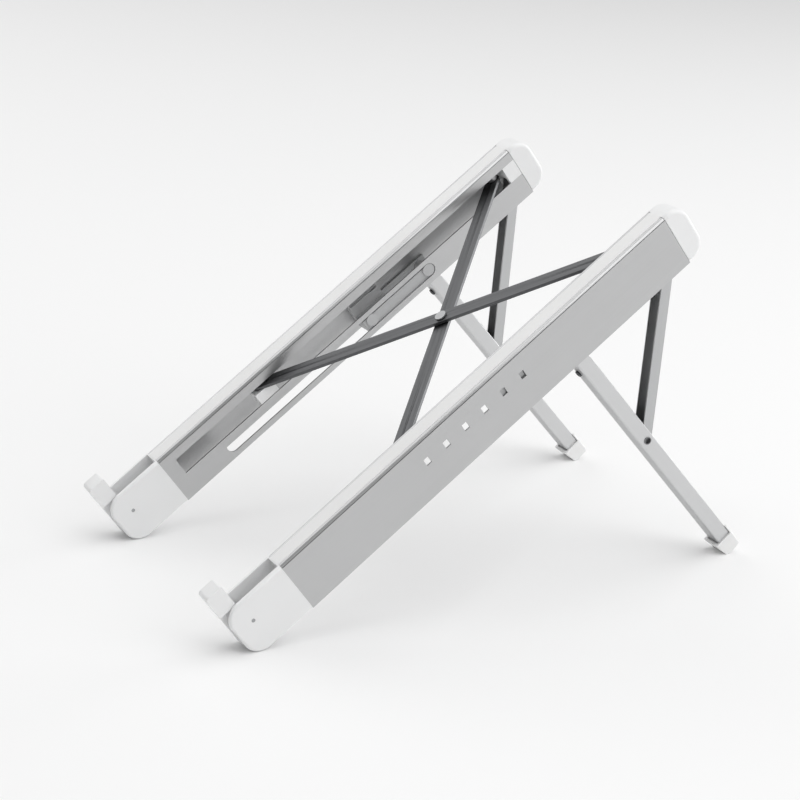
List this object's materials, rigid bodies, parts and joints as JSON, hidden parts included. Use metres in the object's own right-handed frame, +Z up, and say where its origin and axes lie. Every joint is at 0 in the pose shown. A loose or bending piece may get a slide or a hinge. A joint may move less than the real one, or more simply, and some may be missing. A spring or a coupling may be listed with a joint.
{
  "type": "tablet stand",
  "caption": "Folding two-bar tablet stand: aluminium channel bars with soft top strips, swing-out braced legs, fold-away hooks and an expanding cross linkage",
  "frame": {"origin": "Middle of the stand on the surface it stands on, centred across the two bars and along the whole depth.", "axes": "+X to the right hand of someone facing the tablet, +Y from the hooks at the front to the feet at the back, +Z up. Metres in the packed files."},
  "size_m": [0.1606, 0.2942, 0.1863],
  "materials": {
    "anodised_bar": "satin anodised extrusion",
    "anodised_leg": "satin anodised channel",
    "arm_steel": "brushed flat strip",
    "white_plastic": "fine matt moulding",
    "grey_plastic": "fine matt moulding",
    "silicone": "matt silicone",
    "steel": "turned steel",
    "black_screw": "black screw"
  },
  "bodies": {
    "right_bar": {"bar_right": "anodised_bar", "top_pad_right": "silicone", "upper_end_cap_right": "white_plastic", "lower_end_cap_right": "white_plastic", "hook_pin_right": "steel", "brace_top_pin_right": "steel", "scissor_pivot_right": "steel"},
    "left_bar": {"bar_left": "anodised_bar", "top_pad_left": "silicone", "upper_end_cap_left": "white_plastic", "lower_end_cap_left": "white_plastic", "hook_pin_left": "steel", "brace_top_pin_left": "steel", "scissor_pivot_left": "steel"},
    "arm_upper": {"scissor_arm_upper": "arm_steel", "scissor_center_rivet": "steel"},
    "arm_lower": {"scissor_arm_lower": "arm_steel"},
    "right_hook": {"hook_right": "white_plastic"},
    "right_slider": {"slider_right": "grey_plastic", "lock_spring_right": "steel"},
    "right_lock": {"lock_button_right": "steel"},
    "right_brace": {"brace_right": "anodised_leg"},
    "right_leg": {"leg_right": "anodised_leg", "leg_insert_right": "grey_plastic", "insert_screw_right": "black_screw", "leg_top_pin_right": "steel", "foot_right": "silicone", "brace_rivet_right": "steel"},
    "right_shoe": {"scissor_shoe_right": "white_plastic", "shoe_pin_right": "steel"},
    "left_hook": {"hook_left": "white_plastic"},
    "left_slider": {"slider_left": "grey_plastic", "lock_spring_left": "steel"},
    "left_lock": {"lock_button_left": "steel"},
    "left_brace": {"brace_left": "anodised_leg"},
    "left_leg": {"leg_left": "anodised_leg", "leg_insert_left": "grey_plastic", "insert_screw_left": "black_screw", "leg_top_pin_left": "steel", "foot_left": "silicone", "brace_rivet_left": "steel"},
    "left_shoe": {"scissor_shoe_left": "white_plastic", "shoe_pin_left": "steel"}
  },
  "joints": [
    {"name": "right_brace_pivot", "type": "hinge", "parent": "right_bar", "child": "right_brace", "pos_m": [0.07295, 0.09583, 0.16752], "axis": [-1, 0, 0], "range_deg": [0, 46.41]},
    {"name": "right_leg_pivot", "type": "hinge", "parent": "right_brace", "child": "right_leg", "pos_m": [0.07295, 0.08795, 0.06974], "axis": [1, 0, 0], "range_deg": [0, 131.93]},
    {"name": "right_slider_slide", "type": "slide", "parent": "right_bar", "child": "right_slider", "axis": [0, -0.8142, -0.5806], "range_m": [0, 0.09803]},
    {"name": "right_lock_press", "type": "slide", "parent": "right_slider", "child": "right_lock", "axis": [1, 0, 0], "range_m": [0, 0.00085], "stiffness_N_per_m": 150},
    {"name": "right_hook_fold", "type": "hinge", "parent": "right_bar", "child": "right_hook", "pos_m": [0.07295, -0.12528, 0.01651], "axis": [-1, 0, 0], "range_deg": [0, 90]},
    {"name": "left_brace_pivot", "type": "hinge", "parent": "left_bar", "child": "left_brace", "pos_m": [-0.07295, 0.09583, 0.16752], "axis": [-1, 0, 0], "range_deg": [0, 46.41]},
    {"name": "left_leg_pivot", "type": "hinge", "parent": "left_brace", "child": "left_leg", "pos_m": [-0.07295, 0.08795, 0.06974], "axis": [1, 0, 0], "range_deg": [0, 131.93]},
    {"name": "left_slider_slide", "type": "slide", "parent": "left_bar", "child": "left_slider", "axis": [0, -0.8142, -0.5806], "range_m": [0, 0.09803]},
    {"name": "left_lock_press", "type": "slide", "parent": "left_slider", "child": "left_lock", "axis": [-1, 0, 0], "range_m": [0, 0.00085], "stiffness_N_per_m": 150},
    {"name": "left_hook_fold", "type": "hinge", "parent": "left_bar", "child": "left_hook", "pos_m": [-0.07295, -0.12528, 0.01651], "axis": [-1, 0, 0], "range_deg": [0, 90]},
    {"name": "arm_upper_pivot", "type": "hinge", "parent": "right_bar", "child": "arm_upper", "pos_m": [0.07045, 0.08118, 0.16791], "axis": [0, -0.5806, 0.8142], "range_deg": [0, 36.93]},
    {"name": "arm_cross_pivot", "type": "hinge", "parent": "arm_upper", "child": "arm_lower", "pos_m": [0, 0.01415, 0.12012], "axis": [0, 0.5806, -0.8142], "range_deg": [0, 73.86]},
    {"name": "left_bar_pivot", "type": "hinge", "parent": "arm_lower", "child": "left_bar", "pos_m": [-0.07045, 0.08118, 0.16791], "axis": [0, -0.5806, 0.8142], "range_deg": [0, 36.93]},
    {"name": "right_shoe_pivot", "type": "hinge", "parent": "arm_lower", "child": "right_shoe", "pos_m": [0.07045, -0.05287, 0.07233], "axis": [0, -0.5806, 0.8142], "range_deg": [0, 36.93]},
    {"name": "left_shoe_pivot", "type": "hinge", "parent": "arm_upper", "child": "left_shoe", "pos_m": [-0.07045, -0.05287, 0.07233], "axis": [0, 0.5806, -0.8142], "range_deg": [0, 36.93]}
  ],
  "couplings": [
    {"joint": "right_leg_pivot", "follows": "right_brace_pivot", "ratio": 2.8423},
    {"joint": "right_slider_slide", "follows": "right_brace_pivot", "m_per_rad": 0.12101},
    {"joint": "left_leg_pivot", "follows": "left_brace_pivot", "ratio": 2.8423},
    {"joint": "left_slider_slide", "follows": "left_brace_pivot", "m_per_rad": 0.12101},
    {"joint": "arm_cross_pivot", "follows": "arm_upper_pivot", "ratio": 2},
    {"joint": "left_bar_pivot", "follows": "arm_upper_pivot", "ratio": 1},
    {"joint": "right_shoe_pivot", "follows": "arm_upper_pivot", "ratio": 1},
    {"joint": "left_shoe_pivot", "follows": "arm_upper_pivot", "ratio": 1}
  ]
}
